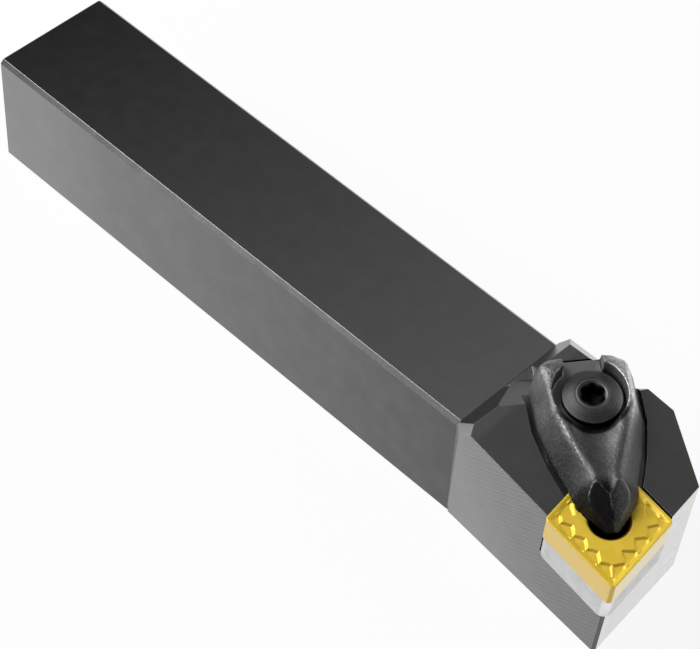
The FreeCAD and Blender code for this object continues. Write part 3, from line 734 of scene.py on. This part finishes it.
wire = winder.add("GeometryNodeCurveToMesh", {}, {
    "Curve": path, "Profile Curve": section, "Fill Caps": True}, "Mesh")
real = winder.add("GeometryNodeRealizeInstances", {}, {"Geometry": wire}, "Geometry")
painted = winder.add("GeometryNodeSetMaterial", {}, {
    "Geometry": real, "Material": wire_finish.material}, "Geometry")
winder.add("NodeGroupOutput", {}, {"Coil": painted})
coil = shown("lift_spring", bpy.data.meshes.new("lift_spring"))
winding = coil.modifiers.new("winding", "NODES")
winding.node_group = coil_tree
for label, key in coil_keys.items():
    winding[key] = coil_sizes[label]
settle(coil)
coil.data.transform(coil_frame @ Matrix.Translation((0, 0, wire_radius * MM)))
coil.data.shade_smooth()
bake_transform(coil)
dress(coil, wire_finish)
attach(coil, "holder")
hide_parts("clamp_spring")

# Studio: white paper under the tool, white round the horizon, and a dim ceiling with two pale
# panels. One large lamp stands at the left and a weak one behind, and the camera looks down from
# the near side.
floor_half = 3
floor_mesh = bpy.data.meshes.new("floor")
floor_corners = [(x * floor_half, y * floor_half, 0) for x, y in ((-1, -1), (1, -1), (1, 1), (-1, 1))]
floor_mesh.from_pydata(floor_corners, [], [(0, 1, 2, 3)])
floor = shown("floor", floor_mesh)
paper = Finish("paper", metallic=0.0)
paper.set(Base_Color=(0.93, 0.93, 0.93, 1), Roughness=0.9)
seen = paper.add("ShaderNodeLightPath", output="Is Camera Ray").at_least(
    paper.add("ShaderNodeLightPath", output="Is Glossy Ray"))
glow = paper.add("ShaderNodeEmission", {}, {"Color": (1, 1, 1, 1)})
mixed = paper.add("ShaderNodeMixShader", {}, (seen * 0.9, paper.shader.outputs[0], glow))
paper.join(mixed, paper.nodes["Material Output"].inputs["Surface"])
dress(floor, paper)

world = bpy.data.worlds.new("studio")
bpy.context.scene.world = world
world.use_nodes = True
sky = Nodes(world.node_tree)
direction = sky.add("ShaderNodeTexCoord", output="Generated")
height = sky.add("ShaderNodeSeparateXYZ", {}, (direction,), "Z")
lit = height.step(0.1, 0.4, 1.0, 0.0)
for aim, rim_at, full_at, strength in (
        ((-0.25, 0.55, 0.8), 0.93, 1.0, 0.34),
        ((-0.44, -0.77, 0.47), 0.85, 0.97, 0.2)):
    toward = sky.vector("DOT_PRODUCT", "Value", direction, aim)
    lit = lit.at_least(toward.step(rim_at, full_at, 0.02, strength))
backdrop = sky.nodes["Background"].inputs
sky.join((1, 1, 1, 1), backdrop["Color"])
sky.join(lit.at_least(sky.add("ShaderNodeLightPath", output="Is Camera Ray")), backdrop["Strength"])

head = Vector((0.105, -0.002, 0.02))
lamp_distance = 0.8
for name, way, size, power in (
        ("lamp_left", (-0.6, -0.35, 0.72), 0.6, 7.2),
        ("lamp_back", (0.6, 0.75, 0.35), 0.9, 2)):
    lamp = bpy.data.lights.new(name, "AREA")
    lamp.size = size
    lamp.energy = power
    stand = shown(name, lamp)
    stand.location = head + Vector(way).normalized() * lamp_distance
    stand.rotation_euler = (-Vector(way)).to_track_quat("-Z", "Y").to_euler()

# The view was fitted to the corners of the shank, the head and the insert.
lens = bpy.data.cameras.new("camera")
lens.sensor_width = 36
lens.lens = 127.722
camera = shown("camera", lens)
camera.location = (0.217799, -0.170526, 0.277639)
camera.rotation_euler = [math.radians(a) for a in (40.2079, -2.4206, 44.8751)]
bpy.context.scene.camera = camera
bpy.context.scene.view_settings.view_transform = "Standard"
